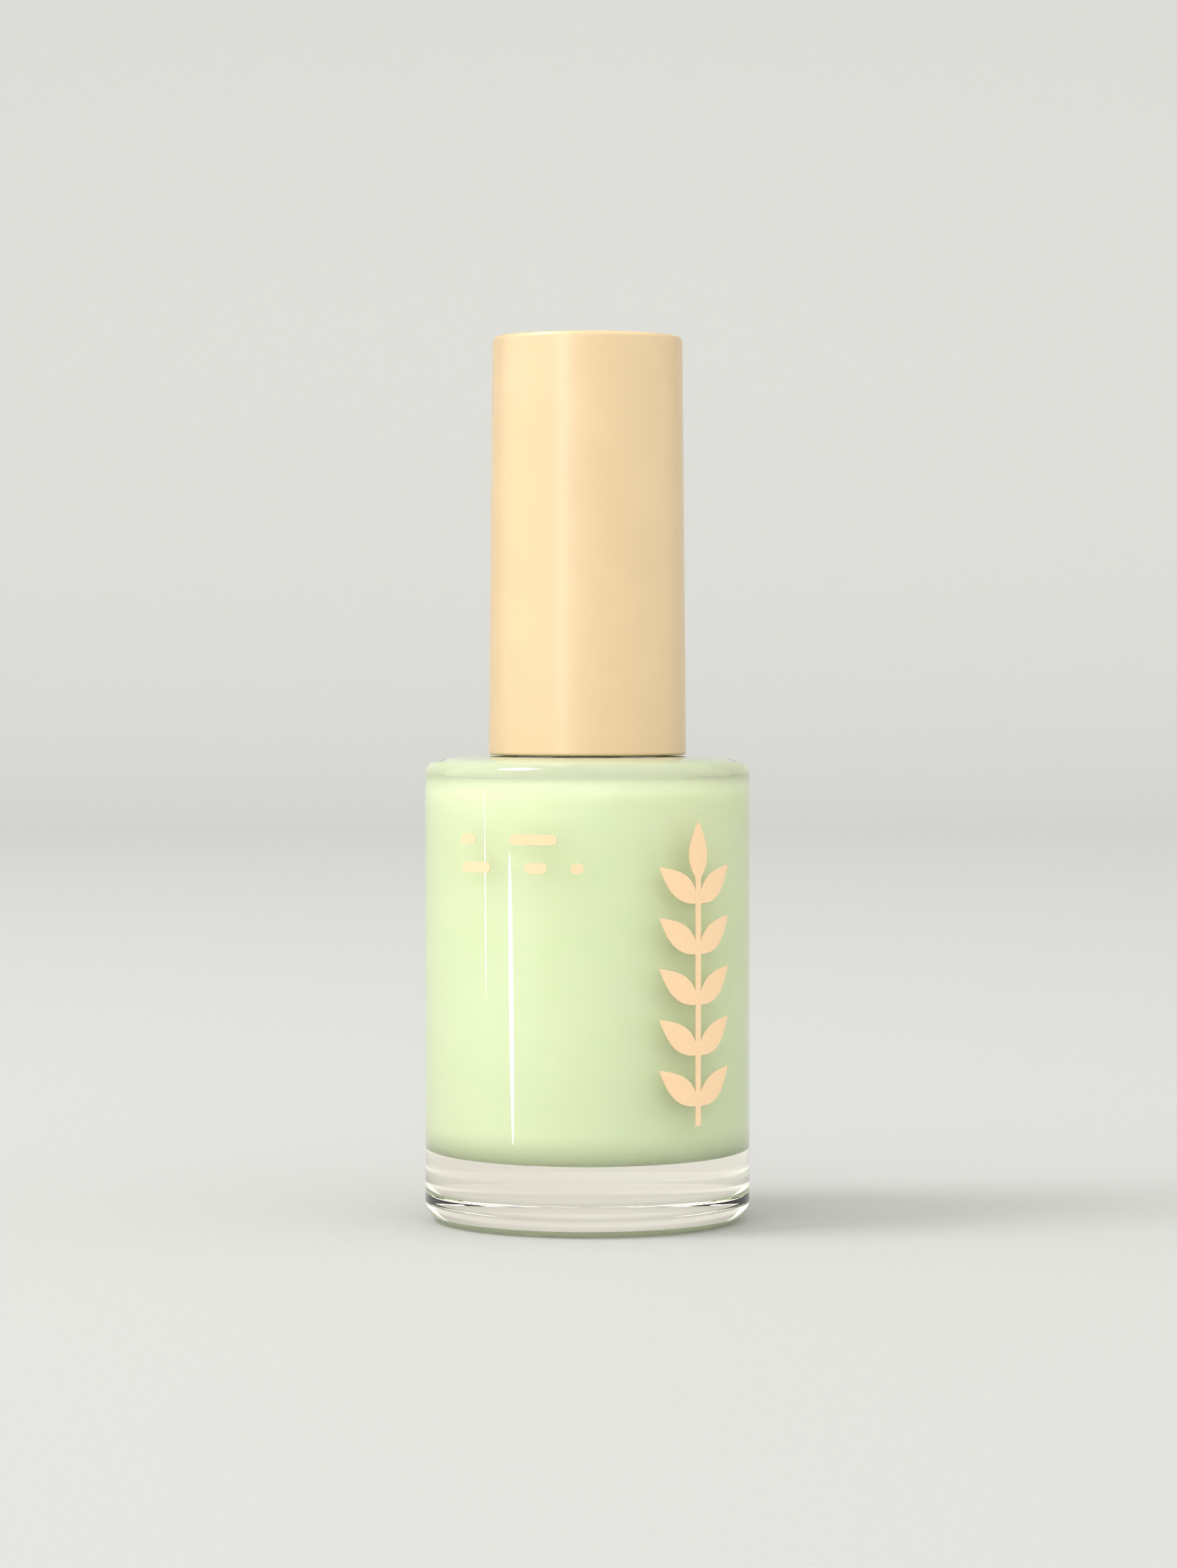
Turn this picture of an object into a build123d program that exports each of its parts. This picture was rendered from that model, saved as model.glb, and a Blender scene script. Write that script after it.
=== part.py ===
from build123d import *
import os
from math import cos, radians, sin

# Nail polish bottle, 10 ml: a thick-walled round glass bottle with a screw cap and brush.
# Millimetres, +Z up. The origin is the middle of the foot, and the printed front faces -Y.
# The bottle, its polish and its mixing balls stand still. The cap unscrews, then lifts out
# with the brush. Every node is drawn with the cap screwed home.

os.makedirs("parts", exist_ok=True)

# ---- driving dimensions -------------------------------------------------------------
BODY_RADIUS = 13.0
HEEL_RADIUS = 1.75
FOOT_INNER_RADIUS = 10.0
PUSH_UP_RADIUS = 8.6
PUSH_UP_HEIGHT = 0.8
PUSH_UP_FILLET = 1.0
FOOT_FILLET = 0.4
SHOULDER_EDGE_Z = 36.62
SHOULDER_EDGE_FILLET = 1.1
SHOULDER_BEND_RADIUS = 10.6
SHOULDER_BEND_Z = 37.17
SHOULDER_BEND_FILLET = 12.0
SHOULDER_TOP_Z = 37.25
NECK_ROOT_FILLET = 0.3
RIM_FILLET = 0.3

WALL = 2.35
FLOOR_Z = 5.3
FLOOR_CORNER_RADIUS = 2.4
CEILING_EDGE_Z = 35.7
CEILING_INNER_Z = 36.05
CEILING_CORNER_RADIUS = 1.8
CAVITY_RADIUS = BODY_RADIUS - WALL
POLISH_LEVEL_Z = 35.9

# Neck finish 13-415: 12.7 mm thread, 12 threads to the inch.
NECK_RADIUS = 5.55
NECK_BORE_RADIUS = 3.2
NECK_TOP_Z = 47.4
NECK_BEAD_Z = 39.3
NECK_BEAD_RADIUS = 0.65
THREAD_PITCH = 25.4 / 12
THREAD_CREST_RADIUS = 6.35
THREAD_START_Z = 41.6
THREAD_TURNS = 1.75
THREAD_EMBED = 0.25
NECK_RIDGE_WIDTHS = (1.15, 0.55)

# Outer cap: a plain drafted sleeve, closed at the top.
CAP_BOTTOM_Z = 37.3
CAP_TOP_Z = 70.6
CAP_BOTTOM_RADIUS = 7.9
CAP_TOP_RADIUS = 7.58
CAP_TOP_THICKNESS = 1.2
CAP_SLEEVE_RADIUS = 7.1
CAP_UPPER_RADIUS = 6.7
CAP_STEP_Z = 51.2
CAP_FIN_COUNT = 6
CAP_FIN_THICKNESS = 0.9
CAP_FIN_TOP_Z = 60.0

# Inner cap: the threaded liner cap that the outer cap is pressed onto.
INNER_CAP_BOTTOM_Z = 38.1
INNER_CAP_TOP_Z = 50.9
INNER_CAP_CEILING_Z = 49.6
INNER_CAP_RADIUS = 6.95
INNER_CAP_BORE_RADIUS = 6.5
INNER_CAP_RIB_RADIUS = 0.1
INNER_CAP_RIB_COUNT = 24
INNER_THREAD_CREST_RADIUS = 5.75
INNER_RIDGE_WIDTHS = (1.0, 0.35)
INNER_RIDGE_DROP = 0.77
BOSS_RADIUS = 3.4
BOSS_TOP_Z = 57.5
SOCKET_RADIUS = 1.9
SOCKET_TOP_Z = 56.5

# Brush.
STEM_RADIUS = 1.6
STEM_TIP_RADIUS = 1.4
STEM_TIP_Z = 21.5
STEM_TAPER_Z = 26.0
STEM_HEAD_TOP_Z = 56.0
STEM_HEAD_CORE_RADIUS = 1.7
STEM_BARB_Z = (51.6, 53.6)
FLANGE_RADIUS = 5.2
FLANGE_BOTTOM_Z = 48.2
FLANGE_TOP_Z = 49.0
BRISTLE_SOCKET_RADIUS = 1.15
BRISTLE_SOCKET_DEPTH = 3.0
BRISTLE_TIP_Z = 6.5
BRISTLE_BELLY_Z = 11.0
BRISTLE_BELLY_RADIUS = 1.78
STAPLE_SIZE = (1.6, 0.5, 2.2)
BRUSH_WELL_RADIUS = 2.1
BRUSH_WELL_BOTTOM_Z = 6.1

SEAL_BORE_RADIUS = 1.7
SEAL_RADIUS = 5.3
LINER_BORE_RADIUS = 2.6

BALL_RADIUS = 2.38
BALL_LIFT = 0.05
BALL_CENTRES = [(6.2, 0.0), (-5.2, 3.6)]

# Print on the front: a leaf sprig to the right and two short rows of dashes to the left.
INK_THICKNESS = 0.05
SPRIG_AZIMUTH = 41.5
SPRIG_BOTTOM_Z = 8.5
SPRIG_HEIGHT = 23.8
SPRIG_STEM_WIDTH = 0.55
LEAF_LENGTH = 4.7
LEAF_WIDTH = 1.9
LEAF_ANGLE = 38.0
LEAF_PAIRS = 5
LEAF_PAIR_STEP = 3.95
# Each row: its height, then the azimuth and the arc of each dash, in degrees.
DASH_ROWS = [(30.9, [(-45.5, 7.0), (-19.0, 17.0)]), (28.7, [(-42.0, 13.0), (-18.0, 8.0), (-3.5, 4.5)])]
DASH_HEIGHT = 0.8


def revolved(outline):
    """The solid that a closed (radius, z) outline sweeps round the Z axis."""
    return revolve(Plane.XZ * make_face(outline), axis=Axis.Z)


def turned(*points):
    """A solid of revolution from (radius, z) points with sharp corners."""
    return revolved(Polyline(*points, close=True))


def ring(outer_radius, inner_radius, bottom_z, top_z):
    """A flat-ended ring round the Z axis."""
    return turned(
        (inner_radius, bottom_z), (outer_radius, bottom_z), (outer_radius, top_z), (inner_radius, top_z)
    )


def disc(radius, bottom_z, top_z):
    """A flat-ended disc or rod on the Z axis."""
    return ring(radius, 0, bottom_z, top_z)


def helical_ridge(root_radius, crest_radius, widths, start_z):
    """One screw ridge, (root, crest) wide, sunk a little into its wall so that the two fuse."""
    path = Helix(THREAD_PITCH, THREAD_PITCH * THREAD_TURNS, root_radius, center=(0, 0, start_z))
    outward = 1 if crest_radius > root_radius else -1
    sunk = -THREAD_EMBED * outward
    height = crest_radius - root_radius
    root_width, crest_width = widths
    section = make_face(
        Polyline(
            (sunk, -root_width / 2),
            (0, -root_width / 2),
            (height, -crest_width / 2),
            (height, crest_width / 2),
            (0, root_width / 2),
            (sunk, root_width / 2),
            close=True,
        )
    )
    plane = Plane(origin=path @ 0, x_dir=(1, 0, 0), z_dir=path % 0)
    return sweep(plane * section, path=path, is_frenet=True)


def cavity():
    """The space inside the bottle below the neck."""
    floor = [(0, FLOOR_Z), (CAVITY_RADIUS, FLOOR_Z)]
    ceiling = [(CAVITY_RADIUS, CEILING_EDGE_Z), (0, CEILING_INNER_Z)]
    wall = FilletPolyline(*floor, *ceiling, radius=[FLOOR_CORNER_RADIUS, CEILING_CORNER_RADIUS])
    axis_line = Line(wall @ 1, wall @ 0)
    return revolved(wall + axis_line)


def make_glass_bottle():
    """Body, shoulder and threaded neck in one piece, with a bore and a thick floor."""
    corners = [
        (0, PUSH_UP_HEIGHT),
        (PUSH_UP_RADIUS, PUSH_UP_HEIGHT),
        (FOOT_INNER_RADIUS, 0),
        (BODY_RADIUS, 0),
        (BODY_RADIUS, SHOULDER_EDGE_Z),
        (SHOULDER_BEND_RADIUS, SHOULDER_BEND_Z),
        (NECK_RADIUS, SHOULDER_TOP_Z),
        (NECK_RADIUS, NECK_TOP_Z),
        (0, NECK_TOP_Z),
    ]
    fillets = [
        PUSH_UP_FILLET,
        FOOT_FILLET,
        HEEL_RADIUS,
        SHOULDER_EDGE_FILLET,
        SHOULDER_BEND_FILLET,
        NECK_ROOT_FILLET,
        RIM_FILLET,
    ]
    skin = FilletPolyline(*corners, radius=fillets)
    axis_line = Line(skin @ 1, skin @ 0)
    bead = Plane.XZ * Pos(NECK_RADIUS, NECK_BEAD_Z) * Circle(NECK_BEAD_RADIUS)
    thread = helical_ridge(NECK_RADIUS, THREAD_CREST_RADIUS, NECK_RIDGE_WIDTHS, THREAD_START_Z)
    outside = revolved(skin + axis_line) + revolve(bead, axis=Axis.Z) + thread
    bore = disc(NECK_BORE_RADIUS, CEILING_EDGE_Z, NECK_TOP_Z + 1)
    return outside - cavity() - bore


def make_mixing_balls():
    """Two loose steel balls resting on the floor of the bottle."""
    height = FLOOR_Z + BALL_LIFT + BALL_RADIUS
    return Compound([Pos(x, y, height) * Sphere(BALL_RADIUS) for x, y in BALL_CENTRES])


def make_polish(balls):
    """The polish, up to its level, with room for the balls and the brush."""
    below_level = disc(BODY_RADIUS, 0, POLISH_LEVEL_Z)
    brush_well = disc(BRUSH_WELL_RADIUS, BRUSH_WELL_BOTTOM_Z, POLISH_LEVEL_Z + 1)
    liquid = cavity() & below_level
    for ball in balls.solids():
        liquid -= ball
    return liquid - brush_well


def leaf():
    """A pointed leaf that starts at the origin and points along +X."""
    upper = ThreePointArc((0, 0), (LEAF_LENGTH / 2, LEAF_WIDTH / 2), (LEAF_LENGTH, 0))
    lower = ThreePointArc((LEAF_LENGTH, 0), (LEAF_LENGTH / 2, -LEAF_WIDTH / 2), (0, 0))
    return make_face(upper + lower)


def sprig():
    """A straight stem with leaf pairs and one leaf at its tip, drawn upwards from the origin."""
    stem_length = SPRIG_HEIGHT - LEAF_LENGTH + 0.4
    outline = Pos(0, stem_length / 2) * Rectangle(SPRIG_STEM_WIDTH, stem_length)
    outline += Pos(0, stem_length - 0.4) * Rot(0, 0, 90) * leaf()
    for pair in range(LEAF_PAIRS):
        foot = Pos(0, 1.6 + pair * LEAF_PAIR_STEP)
        outline += foot * Rot(0, 0, LEAF_ANGLE) * leaf()
        outline += foot * Rot(0, 0, 180 - LEAF_ANGLE) * leaf()
    return outline


def printed(outline, azimuth, bottom_z):
    """Ink of an outline laid on the body at an azimuth from the front, positive to the right."""
    side = radians(azimuth)
    outward = (sin(side), -cos(side), 0)
    face_plane = Plane(origin=(0, 0, bottom_z), x_dir=(cos(side), sin(side), 0), z_dir=outward)
    film = ring(BODY_RADIUS + INK_THICKNESS, BODY_RADIUS, HEEL_RADIUS, CEILING_EDGE_Z)
    return film & extrude(face_plane * outline, BODY_RADIUS + 1)


def make_front_print():
    """The sprig and the dashes as thin ink on the glass."""
    ink = printed(sprig(), SPRIG_AZIMUTH, SPRIG_BOTTOM_Z).solids()
    for row_z, dashes in DASH_ROWS:
        for azimuth, arc in dashes:
            length = BODY_RADIUS * radians(arc)
            dash = SlotOverall(length, DASH_HEIGHT)
            ink += printed(dash, azimuth, row_z).solids()
    return Compound(ink)


def make_seal_ring():
    """The soft washer on the rim, which clings to the stem."""
    return ring(SEAL_RADIUS, SEAL_BORE_RADIUS, NECK_TOP_Z, FLANGE_BOTTOM_Z)


def make_cap_liner():
    """The foam disc between the stem's flange and the inner cap."""
    return ring(FLANGE_RADIUS, LINER_BORE_RADIUS, FLANGE_TOP_Z, INNER_CAP_CEILING_Z)


def make_outer_cap():
    """The drafted sleeve with its closed top and its inner fins."""
    shell = revolved(
        FilletPolyline(
            (0, CAP_TOP_Z),
            (CAP_TOP_RADIUS, CAP_TOP_Z),
            (CAP_BOTTOM_RADIUS, CAP_BOTTOM_Z),
            (CAP_SLEEVE_RADIUS, CAP_BOTTOM_Z),
            (CAP_SLEEVE_RADIUS, CAP_STEP_Z),
            (CAP_UPPER_RADIUS, CAP_STEP_Z),
            (CAP_UPPER_RADIUS, CAP_TOP_Z - CAP_TOP_THICKNESS),
            (0, CAP_TOP_Z - CAP_TOP_THICKNESS),
            radius=[0.35, 0.2, 0.15, 0, 0, 0.6],
        )
        + Line((0, CAP_TOP_Z - CAP_TOP_THICKNESS), (0, CAP_TOP_Z))
    )
    fin_inner = BOSS_RADIUS + 0.05
    fin_outer = CAP_UPPER_RADIUS + 0.3
    fin_height = CAP_FIN_TOP_Z - CAP_STEP_Z
    fin_middle = Pos((fin_inner + fin_outer) / 2, 0, (CAP_FIN_TOP_Z + CAP_STEP_Z) / 2)
    for index in range(CAP_FIN_COUNT):
        fin = Box(fin_outer - fin_inner, CAP_FIN_THICKNESS, fin_height)
        shell += Rot(0, 0, index * 360 / CAP_FIN_COUNT) * fin_middle * fin
    return shell


def make_inner_cap():
    """The ribbed threaded cap, with a boss that holds the brush stem."""
    ribs = PolarLocations(INNER_CAP_RADIUS, INNER_CAP_RIB_COUNT) * Circle(INNER_CAP_RIB_RADIUS)
    ribbed_circle = Circle(INNER_CAP_RADIUS) + ribs
    body = Pos(0, 0, INNER_CAP_BOTTOM_Z) * extrude(ribbed_circle, INNER_CAP_TOP_Z - INNER_CAP_BOTTOM_Z)
    body -= disc(INNER_CAP_BORE_RADIUS, INNER_CAP_BOTTOM_Z - 1, INNER_CAP_CEILING_Z)
    body += disc(BOSS_RADIUS, INNER_CAP_CEILING_Z, BOSS_TOP_Z)
    body -= disc(SOCKET_RADIUS, INNER_CAP_CEILING_Z - 1, SOCKET_TOP_Z)
    # This ridge hooks under the bottle's ridge, with its flank 0.06 mm clear of it.
    ridge_z = THREAD_START_Z - INNER_RIDGE_DROP
    ridge = helical_ridge(INNER_CAP_BORE_RADIUS, INNER_THREAD_CREST_RADIUS, INNER_RIDGE_WIDTHS, ridge_z)
    return body + ridge


def make_brush_stem():
    """The plastic rod with its sealing flange, its barbed head and the bristle socket."""
    lower_barb, upper_barb = STEM_BARB_Z
    rod = turned(
        (0, STEM_TIP_Z),
        (STEM_TIP_RADIUS, STEM_TIP_Z),
        (STEM_RADIUS, STEM_TAPER_Z),
        (STEM_RADIUS, FLANGE_BOTTOM_Z),
        (FLANGE_RADIUS, FLANGE_BOTTOM_Z),
        (FLANGE_RADIUS, FLANGE_TOP_Z),
        (STEM_HEAD_CORE_RADIUS, FLANGE_TOP_Z),
        (STEM_HEAD_CORE_RADIUS, lower_barb),
        (SOCKET_RADIUS, lower_barb),
        (STEM_HEAD_CORE_RADIUS, lower_barb + 0.8),
        (STEM_HEAD_CORE_RADIUS, upper_barb),
        (SOCKET_RADIUS, upper_barb),
        (STEM_HEAD_CORE_RADIUS - 0.3, STEM_HEAD_TOP_Z),
        (0, STEM_HEAD_TOP_Z),
    )
    return rod - disc(BRISTLE_SOCKET_RADIUS, STEM_TIP_Z - 1, STEM_TIP_Z + BRISTLE_SOCKET_DEPTH)


def make_bristle_staple():
    """The flat metal staple that the bristles are folded round."""
    top = STEM_TIP_Z + BRISTLE_SOCKET_DEPTH
    return Pos(0, 0, top - STAPLE_SIZE[2] / 2) * Box(*STAPLE_SIZE)


def make_bristles(staple):
    """The tuft as one solid: round in the socket, swelling to a belly and a rounded tip."""
    top = STEM_TIP_Z + BRISTLE_SOCKET_DEPTH
    side = Spline(
        (BRISTLE_SOCKET_RADIUS, STEM_TIP_Z),
        (BRISTLE_BELLY_RADIUS, BRISTLE_BELLY_Z),
        (0, BRISTLE_TIP_Z),
        tangents=[(0, -1), (-1, 0)],
    )
    socket = [(BRISTLE_SOCKET_RADIUS, top), (BRISTLE_SOCKET_RADIUS, STEM_TIP_Z)]
    core = Polyline((0, BRISTLE_TIP_Z), (0, top), *socket)
    return revolved(side + core) - staple


def write_parts():
    """Make every node and write one STEP file for each."""
    balls = make_mixing_balls()
    staple = make_bristle_staple()
    nodes = {
        "glass_bottle": make_glass_bottle(),
        "polish": make_polish(balls),
        "mixing_balls": balls,
        "front_print": make_front_print(),
        "seal_ring": make_seal_ring(),
        "cap_liner": make_cap_liner(),
        "outer_cap": make_outer_cap(),
        "inner_cap": make_inner_cap(),
        "brush_stem": make_brush_stem(),
        "bristles": make_bristles(staple),
        "bristle_staple": staple,
    }
    for name, shape in nodes.items():
        export_step(shape, f"parts/{name}.step")


write_parts()
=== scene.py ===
import math
import random

import bpy
from mathutils import Matrix, Vector


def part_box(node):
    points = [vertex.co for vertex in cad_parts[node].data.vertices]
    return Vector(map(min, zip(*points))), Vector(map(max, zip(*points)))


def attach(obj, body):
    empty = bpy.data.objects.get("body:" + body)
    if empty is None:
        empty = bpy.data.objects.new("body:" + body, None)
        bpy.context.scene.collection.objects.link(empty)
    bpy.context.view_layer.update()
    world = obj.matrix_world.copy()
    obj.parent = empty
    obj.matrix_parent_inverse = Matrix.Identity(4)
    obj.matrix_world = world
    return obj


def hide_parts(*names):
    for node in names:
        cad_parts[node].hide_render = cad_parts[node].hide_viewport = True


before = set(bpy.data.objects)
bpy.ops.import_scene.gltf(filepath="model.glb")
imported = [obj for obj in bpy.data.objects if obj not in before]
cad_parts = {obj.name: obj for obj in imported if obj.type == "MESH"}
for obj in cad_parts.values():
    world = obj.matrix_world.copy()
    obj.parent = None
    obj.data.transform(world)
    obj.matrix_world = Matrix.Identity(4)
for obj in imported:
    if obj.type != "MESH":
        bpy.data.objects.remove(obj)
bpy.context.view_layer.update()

# Nail polish bottle: the finished looks round the CAD frame. Metres, +Z up, front = -Y.
MM = 0.001

# ---- sizes read from the frame -------------------------------------------------------
_, glass_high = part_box("glass_bottle")
polish_low, polish_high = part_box("polish")
cap_low, cap_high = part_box("outer_cap")
stem_low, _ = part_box("brush_stem")
tuft_low, tuft_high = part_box("bristles")
print_low, print_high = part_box("front_print")

BODY_R = glass_high[0]
NECK_TOP = glass_high[2]
CAVITY_R = polish_high[0]
FLOOR_Z = polish_low[2]
LEVEL = polish_high[2]
CAP_BOTTOM = cap_low[2]
CAP_TOP = cap_high[2]
STEM_TIP = stem_low[2]
TUFT_TIP = tuft_low[2]
TUFT_TOP = tuft_high[2]

# ---- sizes of details, the same as in the CAD nodes they stand for -------------------
PUSH_UP = 0.8 * MM
PUSH_UP_R = 8.6 * MM
PUSH_UP_FILLET = 1.0 * MM
FOOT_RING_R = 10.0 * MM
FOOT_RING_FILLET = 0.4 * MM
HEEL_FILLET = 1.75 * MM
SHOULDER_EDGE = 36.62 * MM
SHOULDER_EDGE_FILLET = 1.1 * MM
SHOULDER_BEND_R = 10.6 * MM
SHOULDER_BEND = 37.17 * MM
SHOULDER_BEND_FILLET = 12 * MM
SHOULDER_TOP = 37.25 * MM
CEILING_EDGE = 35.7 * MM
CEILING_MIDDLE = 36.05 * MM
CEILING_FILLET = 1.8 * MM
FLOOR_FILLET = 2.4 * MM
NECK_R = 5.55 * MM
NECK_FOOT_FILLET = 0.3 * MM
NECK_BORE_R = 3.2 * MM
RIM_FILLET = 0.3 * MM
BORE_TOP_FILLET = 0.15 * MM
BORE_FOOT_FILLET = 0.2 * MM
BEAD_Z = 39.3 * MM
BEAD_R = 0.65 * MM
PITCH = 25.4 * MM / 12
THREAD_START = 41.6 * MM
THREAD_TURNS = 1.75
THREAD_HEIGHT = 0.8 * MM
THREAD_ROOT = 1.15 * MM
THREAD_CREST = 0.55 * MM
THREAD_FADE_TURNS = 0.09
CAP_BOTTOM_R = 7.9 * MM
CAP_TOP_R = 7.58 * MM
CAP_SLEEVE_R = 7.1 * MM
CAP_UPPER_R = 6.7 * MM
CAP_STEP = 51.2 * MM
CAP_TOP_THICKNESS = 1.2 * MM
CAP_TOP_FILLET = 0.35 * MM
CAP_BOTTOM_FILLET = 0.2 * MM
CAP_SLEEVE_FILLET = 0.15 * MM
CAP_CEILING_FILLET = 0.6 * MM
FIN_COUNT = 6
FIN_THICKNESS = 0.9 * MM
FIN_INNER_R = 3.45 * MM
FIN_TOP = 60.0 * MM
FIN_INTO_WALL = 0.3 * MM
TUFT_BELLY_Z = 11.0 * MM

# ---- sizes of the looks alone --------------------------------------------------------
# The filaments keep 0.05 mm inside their socket and 0.03 mm inside the solid's belly.
TUFT_SOCKET_R = 1.1 * MM
TUFT_BELLY_R = 1.75 * MM
# How far the polish goes into the glass, and the ink into its surface.
OVERLAP = 0.02 * MM
INK = 0.045 * MM
BRIM_BEYOND_BORE = 0.9 * MM
BRIM_SLOPE = 0.1 * MM
# Height of the band of painted shade under the shoulder, where the polish is coloured darker.
PAINTED_SHADE_BAND = 1.4 * MM
WET_EDGE_LOW = LEVEL - 0.6 * MM
WET_EDGE_HIGH = LEVEL - 0.2 * MM
WET_EDGE_WAVE = 1.2 * MM
THREAD_RING_STEP = 0.06 * MM
THREAD_BELOW_RIM = 0.4 * MM
GLASS_FILLET_STEPS = 14
ON_AXIS = 1e-9
SAME_RADIUS = 1e-6
# The span that noise values mostly keep to.
NOISE_LOW, NOISE_HIGH = 0.3, 0.7


# ---- mesh helpers --------------------------------------------------------------------
def new_object(name, verts, faces, sharp_degrees=35):
    """A smooth-shaded mesh object with its sharp edges kept."""
    mesh = bpy.data.meshes.new(name)
    mesh.from_pydata(verts, [], faces)
    mesh.validate()
    for polygon in mesh.polygons:
        polygon.use_smooth = True
    mesh.set_sharp_from_angle(angle=math.radians(sharp_degrees))
    obj = bpy.data.objects.new(name, mesh)
    bpy.context.scene.collection.objects.link(obj)
    return obj


def rounded(corners, steps=10):
    """Points of an open (radius, z) outline whose corners (radius, z, fillet) are arcs."""
    points = []
    for index, (r, z, fillet) in enumerate(corners):
        here = Vector((r, z))
        if fillet == 0 or index in (0, len(corners) - 1):
            points.append(here)
            continue
        back = (Vector(corners[index - 1][:2]) - here).normalized()
        ahead = (Vector(corners[index + 1][:2]) - here).normalized()
        half = back.angle(ahead) / 2
        start = here + back * (fillet / math.tan(half))
        middle = here + (back + ahead).normalized() * (fillet / math.sin(half))
        first = start - middle
        sweep = math.pi - 2 * half
        side = 1 if back.x * ahead.y - back.y * ahead.x < 0 else -1
        for step in range(steps + 1):
            turn = Matrix.Rotation(side * sweep * step / steps, 2)
            points.append(middle + turn @ first)
    return points


def subdivided(points, longest):
    """The same outline with extra points, so that no stretch is longer than asked."""
    fine = [points[0]]
    for a, b in zip(points, points[1:]):
        count = max(1, math.ceil((b - a).length / longest))
        fine += [a.lerp(b, k / count) for k in range(1, count + 1)]
    return fine


def braced(points, long_run=1.0 * MM, reach=0.1 * MM):
    """The same outline with a point close to each end of a long run, which keeps its shading straight."""
    fine = [points[0]]
    for a, b in zip(points, points[1:]):
        length = (b - a).length
        if length > long_run:
            fine += [a.lerp(b, reach / length), a.lerp(b, 1 - reach / length)]
        fine.append(b)
    return fine


def lathe_data(points, segments=256, bump=None):
    """Vertices and faces of a (radius, z) outline turned round Z. Ends on the axis become poles."""
    verts = []
    rows = []
    for r, z in braced(points):
        if r < ON_AXIS:
            rows.append([len(verts)])
            verts.append((0, 0, z))
            continue
        row = []
        for k in range(segments):
            a = 2 * math.pi * k / segments
            radius = r + (bump(r, z, a) if bump else 0)
            row.append(len(verts))
            verts.append((radius * math.cos(a), radius * math.sin(a), z))
        rows.append(row)
    faces = []
    for low, high in zip(rows, rows[1:]):
        for k in range(segments):
            n = (k + 1) % segments
            if len(low) == 1:
                faces.append((low[0], high[n], high[k]))
            elif len(high) == 1:
                faces.append((low[k], low[n], high[0]))
            else:
                faces.append((low[k], low[n], high[n], high[k]))
    return verts, faces


def lathe(name, points, bump=None):
    verts, faces = lathe_data(points, bump=bump)
    return new_object(name, verts, faces)


# ---- material helpers ----------------------------------------------------------------
def linear(red, green, blue):
    """A shader colour from 0-255 sRGB values."""
    def channel(v):
        v /= 255
        return v / 12.92 if v <= 0.04045 else ((v + 0.055) / 1.055) ** 2.4
    return channel(red), channel(green), channel(blue), 1.0


class Nodes:
    """A material's node tree with short calls for the nodes used here."""

    def __init__(self, name):
        self.material = bpy.data.materials.new(name)
        self.material.use_nodes = True
        self.tree = self.material.node_tree
        self.shader = self.tree.nodes["Principled BSDF"]
        self.coords = self.add("ShaderNodeTexCoord").outputs["Object"]

    def add(self, kind, **settings):
        node = self.tree.nodes.new(kind)
        for key, value in settings.items():
            setattr(node, key, value)
        return node

    def link(self, output, socket):
        self.tree.links.new(output, socket)

    def drive(self, socket, output):
        """Feeds one of the shader's own sockets."""
        self.link(output, self.shader.inputs[socket])

    def set(self, **values):
        """Sets the shader's own sockets, with spaces in their names written as underscores."""
        for key, value in values.items():
            self.shader.inputs[key.replace("_", " ")].default_value = value

    def noise(self, cell, detail=3.0, roughness=0.5, stretch=None):
        """Noise over the object's own coordinates, with the size of its cells in metres."""
        node = self.add("ShaderNodeTexNoise")
        node.inputs["Scale"].default_value = 1 / cell
        node.inputs["Detail"].default_value = detail
        node.inputs["Roughness"].default_value = roughness
        source = self.coords
        if stretch:
            mapping = self.add("ShaderNodeMapping")
            mapping.inputs["Scale"].default_value = stretch
            self.link(source, mapping.inputs["Vector"])
            source = mapping.outputs["Vector"]
        self.link(source, node.inputs["Vector"])
        return node.outputs["Fac"]

    def tint(self, fac, low_colour, high_colour, low=NOISE_LOW, high=NOISE_HIGH):
        """Runs from one colour to the other as the noise rises from low to high."""
        node = self.add("ShaderNodeValToRGB")
        first, last = node.color_ramp.elements
        first.position, first.color = low, low_colour
        last.position, last.color = high, high_colour
        self.link(fac, node.inputs["Fac"])
        return node.outputs["Color"]

    def range(self, fac, from_low, from_high, to_low=0.0, to_high=1.0):
        node = self.add("ShaderNodeMapRange")
        node.inputs["From Min"].default_value = from_low
        node.inputs["From Max"].default_value = from_high
        node.inputs["To Min"].default_value = to_low
        node.inputs["To Max"].default_value = to_high
        self.link(fac, node.inputs["Value"])
        return node.outputs["Result"]

    def mix(self, fac, low, high):
        """The low colour where fac is 0, the high one where it is 1."""
        node = self.add("ShaderNodeMix", data_type="RGBA")
        for output, key in ((fac, "Factor"), (low, "A"), (high, "B")):
            self.link(output, next(s for s in node.inputs if s.name == key and s.enabled))
        return next(s for s in node.outputs if s.enabled)

    def height(self):
        """The Z of the point, in metres."""
        node = self.add("ShaderNodeSeparateXYZ")
        self.link(self.coords, node.inputs["Vector"])
        return node.outputs["Z"]

    def bump(self, fac, distance):
        node = self.add("ShaderNodeBump")
        node.inputs["Distance"].default_value = distance
        node.inputs["Strength"].default_value = 1.0
        self.link(fac, node.inputs["Height"])
        self.drive("Normal", node.outputs["Normal"])


def moulded(name, light, dark, roughness, grain_mm=0.12, depth_mm=0.004):
    """Plain moulded plastic: slight mottling, a fine grain and uneven gloss."""
    n = Nodes(name)
    mottle = n.noise(2.5 * MM)
    grain = n.noise(grain_mm * MM, detail=2)
    n.drive("Base Color", n.tint(mottle, dark, light))
    n.drive("Roughness", n.range(grain, NOISE_LOW, NOISE_HIGH, roughness - 0.05, roughness + 0.05))
    n.bump(grain, depth_mm * MM)
    return n.material


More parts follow.
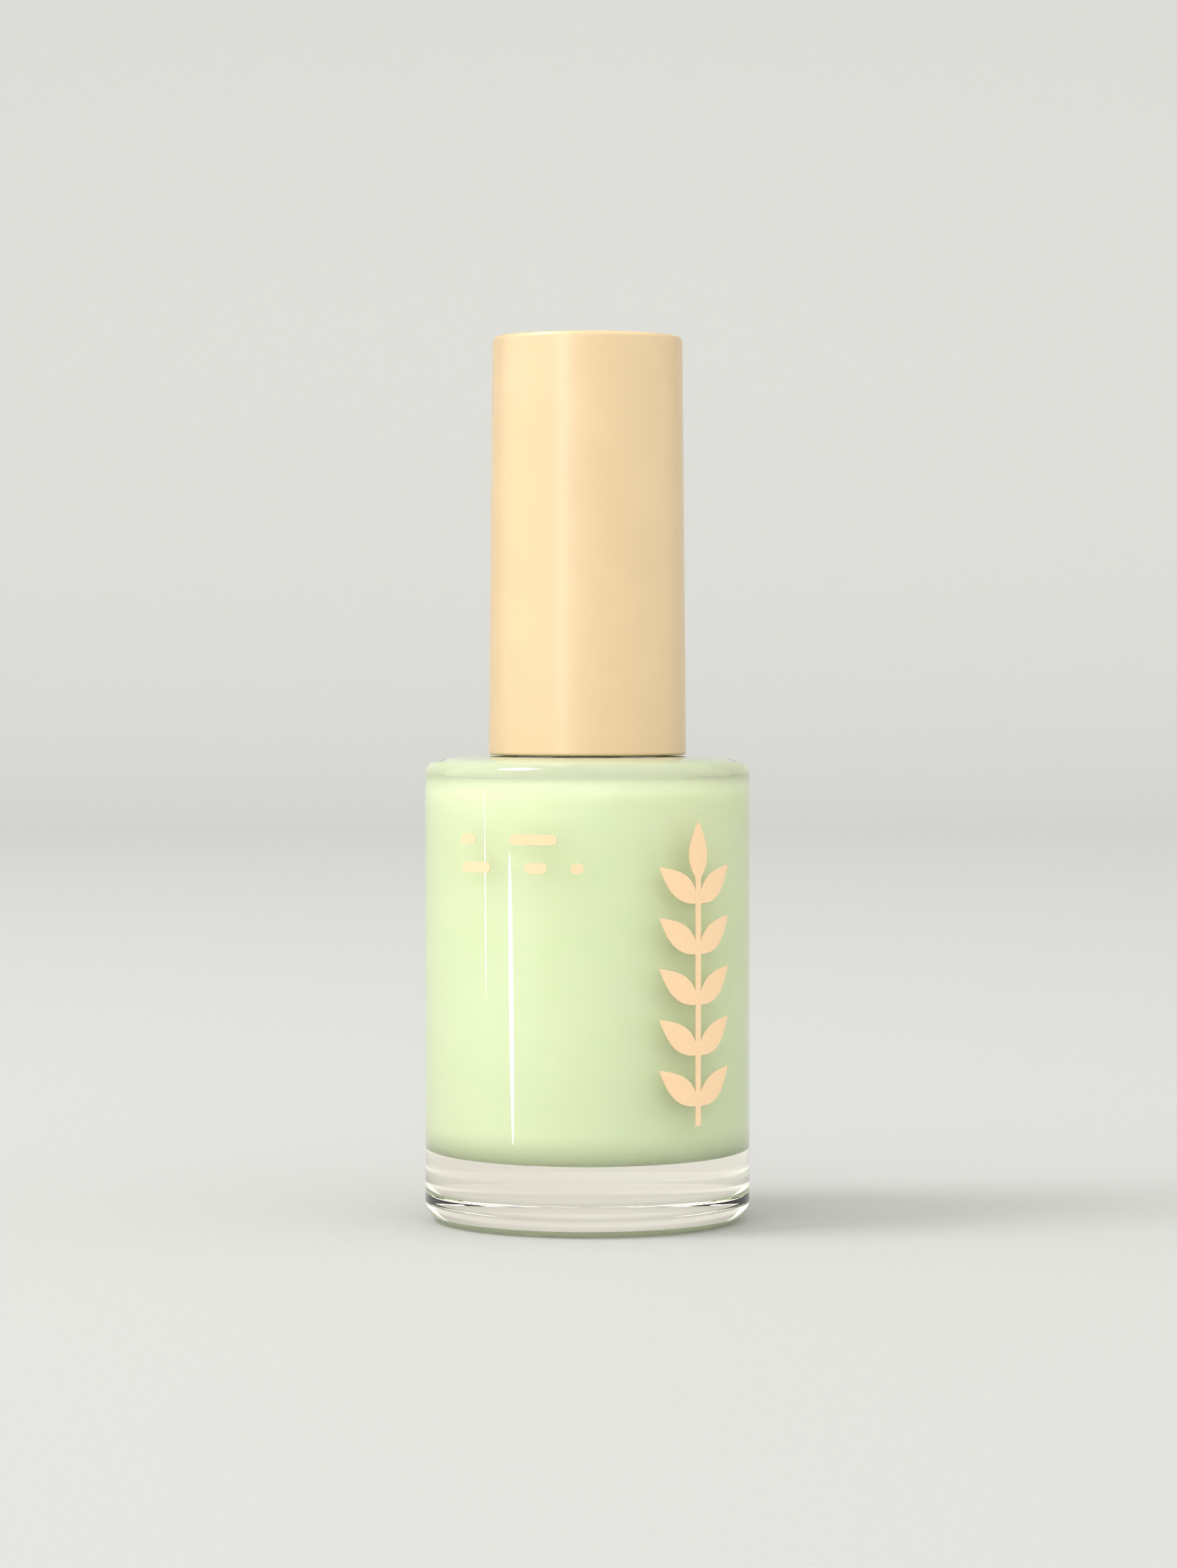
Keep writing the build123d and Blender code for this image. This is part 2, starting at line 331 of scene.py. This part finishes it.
# ---- materials -----------------------------------------------------------------------
def glass_material():
    """Clear glass with a warm tint and a very slight unevenness."""
    n = Nodes("bottle_glass")
    n.set(Transmission_Weight=1.0, IOR=1.5, Roughness=0.0)
    ripple = n.noise(9 * MM, detail=1, stretch=(1, 1, 0.4))
    n.drive("Base Color", n.tint(ripple, linear(255, 249, 238), linear(255, 251, 242), 0.35, 0.65))
    n.bump(ripple, 0.006 * MM)
    return n.material


def polish_material():
    """Pastel lacquer with a faint swirl, and painted shade: a darker colour in a band under the shoulder.
    """
    n = Nodes("polish")
    swirl = n.noise(6 * MM, detail=4, stretch=(1, 1, 2.2))
    colour = n.tint(swirl, linear(229, 248, 209), linear(233, 249, 214))
    # Painted shade: a darker copy of the polish colour, blended in towards the shoulder.
    painted_shade_colour = n.tint(swirl, linear(202, 217, 190), linear(207, 221, 196))
    painted_shade_share = n.range(n.height(), CEILING_EDGE - PAINTED_SHADE_BAND, CEILING_EDGE)
    n.drive("Base Color", n.mix(painted_shade_share, colour, painted_shade_colour))
    n.set(Roughness=0.3, IOR=1.46, Specular_IOR_Level=0.2)
    return n.material


def cap_material():
    """A satin coating with a very fine texture."""
    n = Nodes("cap_satin")
    speck = n.noise(0.09 * MM, detail=2, roughness=0.6)
    cloud = n.noise(5 * MM, detail=2)
    n.drive("Base Color", n.tint(cloud, linear(193, 166, 120), linear(197, 170, 124)))
    n.drive("Roughness", n.range(speck, NOISE_LOW, NOISE_HIGH, 0.3, 0.4))
    n.set(IOR=1.5, Specular_IOR_Level=1.0, Coat_Weight=0.5, Coat_Roughness=0.3)
    n.bump(speck, 0.004 * MM)
    return n.material


def ink_material():
    """Screen-printed ink, slightly mottled."""
    n = Nodes("print_ink")
    mottle = n.noise(0.25 * MM)
    n.drive("Base Color", n.tint(mottle, linear(221, 189, 149), linear(225, 194, 154)))
    n.drive("Roughness", n.range(mottle, NOISE_LOW, NOISE_HIGH, 0.38, 0.5))
    n.bump(mottle, 0.003 * MM)
    return n.material


def metal_material(name, colour, roughness, stretch=None):
    """Bare metal with uneven polish."""
    n = Nodes(name)
    brush = n.noise(0.1 * MM, detail=2, stretch=stretch)
    n.set(Metallic=1.0, Base_Color=colour)
    n.drive("Roughness", n.range(brush, NOISE_LOW, NOISE_HIGH, roughness - 0.05, roughness + 0.08))
    n.bump(brush, 0.001 * MM)
    return n.material


def wetted_material(name, bare, bare_dark, roughness):
    """Plastic that stands in polish: bare above a wavy edge near the level, coated below it."""
    n = Nodes(name)
    streak = n.noise(0.6 * MM, stretch=(1, 1, 0.15))
    wave = n.add("ShaderNodeMath", operation="MULTIPLY_ADD")
    n.link(streak, wave.inputs[0])
    wave.inputs[1].default_value = 2 * WET_EDGE_WAVE
    wave.inputs[2].default_value = -WET_EDGE_WAVE
    waved_height = n.add("ShaderNodeMath", operation="ADD")
    n.link(n.height(), waved_height.inputs[0])
    n.link(wave.outputs[0], waved_height.inputs[1])
    bare_share = n.range(waved_height.outputs[0], WET_EDGE_LOW, WET_EDGE_HIGH)
    wet_colour = n.tint(streak, linear(214, 229, 182), linear(228, 240, 202))
    bare_colour = n.tint(streak, bare_dark, bare)
    n.drive("Base Color", n.mix(bare_share, wet_colour, bare_colour))
    n.drive("Roughness", n.range(bare_share, 0.0, 1.0, 0.16, roughness))
    n.bump(streak, 0.02 * MM)
    return n.material


def wear(obj, material):
    """Gives an object one material."""
    obj.data.materials.clear()
    obj.data.materials.append(material)


# ---- bottle --------------------------------------------------------------------------
def thread_bump(r, z, angle):
    """How far the screw ridge stands out of the neck here. It fades out at both ends."""
    if abs(r - NECK_R) > SAME_RADIUS or not BEAD_Z + BEAD_R < z < NECK_TOP - THREAD_BELOW_RIM:
        return 0.0
    out = 0.0
    for whole in range(math.ceil(THREAD_TURNS)):
        turn = angle / (2 * math.pi) + whole
        if turn > THREAD_TURNS:
            continue
        off = abs(z - THREAD_START - PITCH * turn)
        flank = (THREAD_ROOT / 2 - off) / ((THREAD_ROOT - THREAD_CREST) / 2)
        fade = min(1.0, turn / THREAD_FADE_TURNS, (THREAD_TURNS - turn) / THREAD_FADE_TURNS)
        out = max(out, THREAD_HEIGHT * min(1.0, max(0.0, flank)) * fade)
    return out


def bead_points():
    """The half-round bead that stands out of the neck under the thread."""
    steps = 12
    points = []
    for k in range(steps + 1):
        a = math.pi * k / steps
        points.append(Vector((NECK_R + BEAD_R * math.sin(a), BEAD_Z - BEAD_R * math.cos(a))))
    return points


def ceiling_at(r):
    """Height of the cavity's sloping ceiling."""
    return CEILING_MIDDLE - (CEILING_MIDDLE - CEILING_EDGE) * r / CAVITY_R


def make_glass():
    """The bottle's glass as one turned outline, with the screw ridge raised out of the neck."""
    lower = rounded([
        (0, PUSH_UP, 0),
        (PUSH_UP_R, PUSH_UP, PUSH_UP_FILLET),
        (FOOT_RING_R, 0, FOOT_RING_FILLET),
        (BODY_R, 0, HEEL_FILLET),
        (BODY_R, SHOULDER_EDGE, SHOULDER_EDGE_FILLET),
        (SHOULDER_BEND_R, SHOULDER_BEND, SHOULDER_BEND_FILLET),
        (NECK_R, SHOULDER_TOP, NECK_FOOT_FILLET),
        (NECK_R, BEAD_Z - BEAD_R, 0),
    ], GLASS_FILLET_STEPS)
    thread_zone = [Vector((NECK_R, BEAD_Z + BEAD_R)), Vector((NECK_R, NECK_TOP - RIM_FILLET))]
    rim = rounded([
        (NECK_R, BEAD_Z + BEAD_R, 0),
        (NECK_R, NECK_TOP, RIM_FILLET),
        (NECK_BORE_R, NECK_TOP, BORE_TOP_FILLET),
        (NECK_BORE_R, ceiling_at(NECK_BORE_R), BORE_FOOT_FILLET),
        (CAVITY_R, CEILING_EDGE, CEILING_FILLET),
        (CAVITY_R, FLOOR_Z, FLOOR_FILLET),
        (0, FLOOR_Z, 0),
    ], GLASS_FILLET_STEPS)
    # The bead and the thread zone bring their own end points, so each neighbour drops its copy.
    points = lower[:-1] + bead_points() + subdivided(thread_zone, THREAD_RING_STEP)[1:-1] + rim[1:]
    glass = lathe("glass_body", points, bump=thread_bump)
    wear(glass, glass_material())
    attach(glass, "bottle")
    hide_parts("glass_bottle")


def make_polish():
    """The polish wets the glass, so its skin lies just inside the glass and leaves no air film."""
    side = CAVITY_R + OVERLAP
    brim = NECK_BORE_R + BRIM_BEYOND_BORE
    points = rounded([
        (0, FLOOR_Z - OVERLAP, 0),
        (side, FLOOR_Z - OVERLAP, FLOOR_FILLET),
        (side, CEILING_EDGE + OVERLAP, CEILING_FILLET),
        (brim, ceiling_at(brim) + OVERLAP, 0),
        (brim - BRIM_SLOPE, LEVEL, 0),
        (0, LEVEL, 0),
    ], GLASS_FILLET_STEPS)
    body = lathe("polish_fill", points)
    wear(body, polish_material())
    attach(body, "bottle")
    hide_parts("polish")


# ---- print ---------------------------------------------------------------------------
def ink_strip(verts, faces, centre_line, half_widths, across=4):
    """Adds a thin closed strip of ink wrapped round the glass, along (arc, z) points in metres."""
    inner_r, outer_r = BODY_R - OVERLAP, BODY_R + INK
    rows = []
    for index, (point, half) in enumerate(zip(centre_line, half_widths)):
        before = centre_line[max(0, index - 1)]
        after = centre_line[min(len(centre_line) - 1, index + 1)]
        along = (after - before).normalized()
        normal = Vector((-along.y, along.x))
        rows.append([point + normal * half * (2 * k / across - 1) for k in range(across + 1)])
    count = across + 1
    base = len(verts)
    for radius in (outer_r, inner_r):
        for row in rows:
            for spot in row:
                a = spot.x / BODY_R
                verts.append((radius * math.sin(a), -radius * math.cos(a), spot.y))
    layer = len(rows) * count

    def at(row, k, deep=False):
        return base + row * count + k + (layer if deep else 0)

    for i in range(len(rows) - 1):
        for k in range(across):
            faces.append((at(i, k), at(i + 1, k), at(i + 1, k + 1), at(i, k + 1)))
            faces.append((at(i, k, True), at(i, k + 1, True), at(i + 1, k + 1, True), at(i + 1, k, True)))
        faces.append((at(i, 0), at(i, 0, True), at(i + 1, 0, True), at(i + 1, 0)))
        faces.append((at(i, across), at(i + 1, across), at(i + 1, across, True), at(i, across, True)))
    last = len(rows) - 1
    for k in range(across):
        faces.append((at(0, k), at(0, k + 1), at(0, k + 1, True), at(0, k, True)))
        faces.append((at(last, k), at(last, k, True), at(last, k + 1, True), at(last, k + 1)))


def leaf_strip(foot, angle, length, width, steps=20):
    """Centre line and half widths of a pointed leaf."""
    direction = Vector((math.cos(angle), math.sin(angle)))
    line, halves = [], []
    for k in range(steps + 1):
        t = BLUNT + (1 - 2 * BLUNT) * k / steps
        line.append(foot + direction * length * t)
        halves.append(width / 2 * math.sin(math.pi * t ** LEAF_BELLY))
    return line, halves


def slot_strip(middle, length, height, steps=16):
    """Centre line and half widths of a dash with round ends."""
    radius = height / 2
    line, halves = [], []
    for k in range(steps + 1):
        t = BLUNT + (1 - 2 * BLUNT) * k / steps
        x = -length / 2 * math.cos(math.pi * t)
        past = max(0.0, abs(x) - (length / 2 - radius))
        line.append(middle + Vector((x, 0)))
        halves.append(math.sqrt(max(0.0, radius ** 2 - past ** 2)))
    return line, halves


SPRIG_AZIMUTH = math.radians(41.5)
SPRIG_BOTTOM = print_low[2]
SPRIG_HEIGHT = print_high[2] - print_low[2]
SPRIG_STEM_WIDTH = 0.55 * MM
SPRIG_STEM_STEPS = 24
SPRIG_STEM_INTO_LEAF = 0.4 * MM
LEAF_LENGTH = 4.7 * MM
LEAF_WIDTH = 1.9 * MM
LEAF_ANGLE = math.radians(38)
LEAF_PAIRS = 5
LEAF_STEP = 3.95 * MM
FIRST_LEAF = 1.6 * MM
LEAF_BELLY = 0.85
DASH_HEIGHT = 0.8 * MM
# The share of its run that a leaf or dash leaves out at each end, where its width comes to nothing.
BLUNT = 0.02
# Each row's height and its dashes, as (azimuth of the middle, length) in degrees round the body.
DASH_ROWS = (
    (30.9 * MM, ((-45.5, 7.0), (-19.0, 17.0))),
    (28.7 * MM, ((-42.0, 13.0), (-18.0, 8.0), (-3.5, 4.5))),
)


def make_print():
    """A generic leaf sprig and short dashes, as ink that stands a hair proud of the glass."""
    verts, faces = [], []
    foot = Vector((SPRIG_AZIMUTH * BODY_R, SPRIG_BOTTOM))
    stem_top = SPRIG_HEIGHT - LEAF_LENGTH + SPRIG_STEM_INTO_LEAF
    stem = [foot + Vector((0, stem_top * k / SPRIG_STEM_STEPS)) for k in range(SPRIG_STEM_STEPS + 1)]
    ink_strip(verts, faces, stem, [SPRIG_STEM_WIDTH / 2] * len(stem), across=2)
    tip = foot + Vector((0, SPRIG_HEIGHT - LEAF_LENGTH))
    ink_strip(verts, faces, *leaf_strip(tip, math.pi / 2, LEAF_LENGTH, LEAF_WIDTH))
    for pair in range(LEAF_PAIRS):
        node = foot + Vector((0, FIRST_LEAF + pair * LEAF_STEP))
        for angle in (LEAF_ANGLE, math.pi - LEAF_ANGLE):
            ink_strip(verts, faces, *leaf_strip(node, angle, LEAF_LENGTH, LEAF_WIDTH))
    for z, dashes in DASH_ROWS:
        for azimuth, arc in dashes:
            middle = Vector((math.radians(azimuth) * BODY_R, z))
            ink_strip(verts, faces, *slot_strip(middle, math.radians(arc) * BODY_R, DASH_HEIGHT))
    ink = new_object("front_ink", verts, faces)
    wear(ink, ink_material())
    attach(ink, "bottle")
    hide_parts("front_print")


# ---- cap -----------------------------------------------------------------------------
def add_box(verts, faces, centre, half, angle):
    """Adds a plain box turned about Z."""
    turn = Matrix.Rotation(angle, 3, "Z")
    base = len(verts)
    for x in (-1, 1):
        for y in (-1, 1):
            for z in (-1, 1):
                corner = Vector((x * half[0], y * half[1], z * half[2])) + Vector(centre)
                verts.append(tuple(turn @ corner))
    for quad in ((0, 1, 3, 2), (4, 6, 7, 5), (0, 4, 5, 1), (2, 3, 7, 6), (0, 2, 6, 4), (1, 5, 7, 3)):
        faces.append(tuple(base + k for k in quad))


def make_outer_cap():
    """The tapered satin sleeve, with the fins inside it that centre the inner cap."""
    points = rounded([
        (0, CAP_TOP, 0),
        (CAP_TOP_R, CAP_TOP, CAP_TOP_FILLET),
        (CAP_BOTTOM_R, CAP_BOTTOM, CAP_BOTTOM_FILLET),
        (CAP_SLEEVE_R, CAP_BOTTOM, CAP_SLEEVE_FILLET),
        (CAP_SLEEVE_R, CAP_STEP, 0),
        (CAP_UPPER_R, CAP_STEP, 0),
        (CAP_UPPER_R, CAP_TOP - CAP_TOP_THICKNESS, CAP_CEILING_FILLET),
        (0, CAP_TOP - CAP_TOP_THICKNESS, 0),
    ])
    points.reverse()
    verts, faces = lathe_data(points)
    outer = CAP_UPPER_R + FIN_INTO_WALL
    centre = ((FIN_INNER_R + outer) / 2, 0, (CAP_STEP + FIN_TOP) / 2)
    half = ((outer - FIN_INNER_R) / 2, FIN_THICKNESS / 2, (FIN_TOP - CAP_STEP) / 2)
    for k in range(FIN_COUNT):
        add_box(verts, faces, centre, half, 2 * math.pi * k / FIN_COUNT)
    cap = new_object("cap_sleeve", verts, faces)
    wear(cap, cap_material())
    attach(cap, "cap")
    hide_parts("outer_cap")


FILAMENTS = 320
FILAMENT_R = 0.045 * MM
FILAMENT_SIDES = 5
FILAMENT_STEPS = 14
FILAMENT_TOP_GAP = 0.1 * MM
FILAMENT_TIP_SHARE = 0.45
TIP_ROUNDNESS = 2.4
TIP_ROUND_SHARE = 0.9
TIP_SCATTER_MM = 0.35
TIP_GATHER = 0.22


def tuft_radius(z):
    """The tuft's outer radius at a height: snug in the socket, widening to the belly and full below it."""
    if z > STEM_TIP:
        return TUFT_SOCKET_R
    if z > TUFT_BELLY_Z:
        t = (STEM_TIP - z) / (STEM_TIP - TUFT_BELLY_Z)
        return TUFT_SOCKET_R + (TUFT_BELLY_R - TUFT_SOCKET_R) * (t * t * (3 - 2 * t))
    return TUFT_BELLY_R


def make_bristles():
    """Separate nylon filaments that run side by side from the socket to a rounded tip."""
    rng = random.Random(7)
    verts, faces = [], []
    top = TUFT_TOP - FILAMENT_TOP_GAP
    belly_height = TUFT_BELLY_Z - TUFT_TIP
    golden_angle = math.pi * (3 - math.sqrt(5))
    for index in range(FILAMENTS):
        share = math.sqrt((index + 0.5) / FILAMENTS)
        angle = index * golden_angle + rng.uniform(-0.1, 0.1)
        sway = rng.uniform(-0.05, 0.05)
        shorter = 1 - (1 - share ** TIP_ROUNDNESS) ** (1 / TIP_ROUNDNESS)
        tip = TUFT_TIP + belly_height * shorter * TIP_ROUND_SHARE
        tip += rng.uniform(0.0, TIP_SCATTER_MM) * MM
        base = len(verts)
        for step in range(FILAMENT_STEPS + 1):
            z = top + (tip - top) * step / FILAMENT_STEPS
            gather = TIP_GATHER * max(0.0, (TUFT_BELLY_Z - z) / belly_height)
            out = share * (tuft_radius(z) - FILAMENT_R) * (1 - gather)
            a = angle + sway * step / FILAMENT_STEPS
            slim = FILAMENT_R * (1 if step < FILAMENT_STEPS else FILAMENT_TIP_SHARE)
            for side in range(FILAMENT_SIDES):
                s = 2 * math.pi * side / FILAMENT_SIDES
                x = out * math.cos(a) + slim * math.cos(s)
                y = out * math.sin(a) + slim * math.sin(s)
                verts.append((x, y, z))
        for step in range(FILAMENT_STEPS):
            for side in range(FILAMENT_SIDES):
                n = (side + 1) % FILAMENT_SIDES
                low = base + step * FILAMENT_SIDES
                high = low + FILAMENT_SIDES
                faces.append((low + side, high + side, high + n, low + n))
        end = base + FILAMENT_STEPS * FILAMENT_SIDES
        faces.append(tuple(base + side for side in range(FILAMENT_SIDES)))
        faces.append(tuple(end + side for side in reversed(range(FILAMENT_SIDES))))
    tuft = new_object("bristle_tuft", verts, faces)
    wear(tuft, wetted_material("nylon", linear(58, 52, 48), linear(40, 36, 34), 0.35))
    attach(tuft, "cap")
    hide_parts("bristles")


# ---- CAD nodes that keep their shape -------------------------------------------------
def dress_cad_nodes():
    """Gives each CAD node that keeps its shape a material."""
    white, off_white = linear(244, 243, 238), linear(234, 232, 225)
    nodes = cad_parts
    wear(nodes["inner_cap"], moulded("inner_cap_pp", white, off_white, 0.42))
    wear(nodes["cap_liner"], moulded("liner_foam", white, off_white, 0.75, grain_mm=0.3, depth_mm=0.03))
    wear(nodes["seal_ring"], moulded("seal_pe", linear(238, 238, 232), linear(226, 226, 220), 0.5))
    wear(nodes["brush_stem"], wetted_material("stem_pe", white, off_white, 0.3))
    wear(nodes["mixing_balls"], metal_material("ball_steel", linear(214, 214, 216), 0.12))
    wear(nodes["bristle_staple"], metal_material("staple_steel", linear(200, 200, 202), 0.28, (1, 1, 0.1)))


# ---- stage, lights and camera --------------------------------------------------------
STAGE_FRONT = -1.6
STAGE_BACK = 0.9
STAGE_BEND = 0.5
STAGE_BEND_STEPS = 16
STAGE_RISE = 1.6
STAGE_HALF_WIDTH = 2.2
STAGE_REACH = 40.0


def make_stage():
    """A plain pale floor that sweeps up into a backdrop and runs on flat to both sides and the front."""
    half, reach = STAGE_HALF_WIDTH, STAGE_REACH
    profile = [(STAGE_FRONT, 0.0)]
    for k in range(STAGE_BEND_STEPS + 1):
        a = math.pi / 2 * k / STAGE_BEND_STEPS
        profile.append((STAGE_BACK + STAGE_BEND * math.sin(a), STAGE_BEND - STAGE_BEND * math.cos(a)))
    profile.append((STAGE_BACK + STAGE_BEND, STAGE_RISE))
    verts = [(x, y, z) for y, z in profile for x in (-half, half)]
    faces = [(2 * k, 2 * k + 1, 2 * k + 3, 2 * k + 2) for k in range(len(profile) - 1)]
    for x0, x1, y0, y1 in (
        (-reach, -half, -reach, reach),
        (half, reach, -reach, reach),
        (-half, half, -reach, STAGE_FRONT),
    ):
        faces.append(tuple(range(len(verts), len(verts) + 4)))
        verts += [(x0, y0, 0), (x1, y0, 0), (x1, y1, 0), (x0, y1, 0)]
    sweep = new_object("stage_sweep", verts, faces, sharp_degrees=60)
    n = Nodes("stage_paper")
    fibre = n.noise(0.6 * MM)
    n.drive("Base Color", n.tint(fibre, linear(171, 172, 170), linear(174, 175, 173)))
    n.set(Roughness=0.75)
    wear(sweep, n.material)


BODY_MIDDLE = (0, 0, 30 * MM)


def area_light(name, azimuth, elevation, distance, size, watts, aim=BODY_MIDDLE, shape="RECTANGLE", tilt=0):
    """A lamp aimed at a point: azimuth 0 is in front of it, positive to the right. Angles in degrees."""
    data = bpy.data.lights.new(name, "AREA")
    data.shape = shape
    data.size, data.size_y = size
    data.energy = watts
    lamp = bpy.data.objects.new(name, data)
    side, up = math.radians(azimuth), math.radians(elevation)
    aim = Vector(aim)
    flat = distance * math.cos(up)
    away = Vector((flat * math.sin(side), -flat * math.cos(side), distance * math.sin(up)))
    lamp.location = aim + away
    facing = (lamp.location - aim).to_track_quat("Z", "Y").to_matrix()
    lamp.rotation_euler = (facing @ Matrix.Rotation(math.radians(tilt), 3, "Z")).to_euler()
    lamp.visible_camera = False
    bpy.context.scene.collection.objects.link(lamp)
    return lamp


def light_only(lamp, piece):
    """Lets a lamp light one piece and nothing else."""
    receivers = bpy.data.collections.new("lit_by_" + lamp.name)
    receivers.objects.link(bpy.data.objects[piece])
    lamp.light_linking.receiver_collection = receivers


SKY_BASE = 0.74
# Direction the light comes from, the cosine at which it begins, and its peak strength.
SKY = (
    ((0, -1, 0), -1.0, 1.16),
    ((-0.82, -0.57, 0), 0.4, 0.8),
    ((1, 0, 0), 0.0, 0.3),
    ((-0.95, 0.3, 0), 0.5, 0.5),
)


def make_sky():
    """Soft surroundings: bright in front, brightest at a wide window to the front left, dimmer behind."""
    world = bpy.data.worlds.new("studio")
    bpy.context.scene.world = world
    world.use_nodes = True
    tree = world.node_tree
    background = tree.nodes["Background"]
    background.inputs["Color"].default_value = (1.0, 0.985, 0.96, 1)
    direction = tree.nodes.new("ShaderNodeTexCoord").outputs["Generated"]
    total = tree.nodes.new("ShaderNodeValue").outputs[0]
    total.default_value = SKY_BASE
    for aim, start, peak in SKY:
        share = tree.nodes.new("ShaderNodeVectorMath")
        share.operation = "DOT_PRODUCT"
        share.inputs[1].default_value = aim
        tree.links.new(direction, share.inputs[0])
        part = tree.nodes.new("ShaderNodeMapRange")
        part.inputs["From Min"].default_value = start
        part.inputs["To Max"].default_value = peak
        tree.links.new(share.outputs["Value"], part.inputs["Value"])
        add = tree.nodes.new("ShaderNodeMath")
        tree.links.new(total, add.inputs[0])
        tree.links.new(part.outputs["Result"], add.inputs[1])
        total = add.outputs[0]
    tree.links.new(total, background.inputs["Strength"])


def make_lights():
    make_sky()
    area_light("key_high", -75, 56, distance=0.8, size=(0.25, 0.25), watts=3.1)
    area_light("backdrop_wash", 0, 35, distance=1.1, size=(1.2, 0.3), watts=0.9, aim=(0, 1.4, 0.2))
    softbox = area_light("cap_softbox", -29.5, 3, distance=0.7, size=(0.07, 0.5), watts=0.6)
    light_only(softbox, "cap_sleeve")
    # The two bright lines on the glass, with distance, width, height and middle in millimetres.
    for name, azimuth, distance, width, height, middle, watts in (
        ("strip_main", -49.8, 67, 3.6, 26.5, 14.5, 0.0038),
        ("strip_thin", -71.5, 90, 1.4, 20, 22.4, 0.0009),
    ):
        size = (width * MM, height * MM)
        aim = (0, 0, middle * MM)
        strip = area_light(name, azimuth, 0, distance * MM, size, watts, aim, shape="ELLIPSE", tilt=6)
        strip.visible_diffuse = False
        light_only(strip, "glass_body")


def make_camera():
    """A long lens at the height of the cap's lower half, looking slightly down."""
    data = bpy.data.cameras.new("camera")
    data.sensor_fit = "VERTICAL"
    data.sensor_height = 36.0
    data.lens = 100.1
    data.clip_start = 0.01
    data.clip_end = 100
    camera = bpy.data.objects.new("camera", data)
    camera.location = (0.085 * MM, -349 * MM, 43.4 * MM)
    tilt_down = 1.39
    camera.rotation_euler = (math.radians(90 - tilt_down), 0, 0)
    bpy.context.scene.collection.objects.link(camera)
    bpy.context.scene.camera = camera


make_glass()
make_polish()
make_print()
make_outer_cap()
make_bristles()
dress_cad_nodes()
make_stage()
make_lights()
make_camera()
bpy.context.scene.view_settings.view_transform = "Standard"
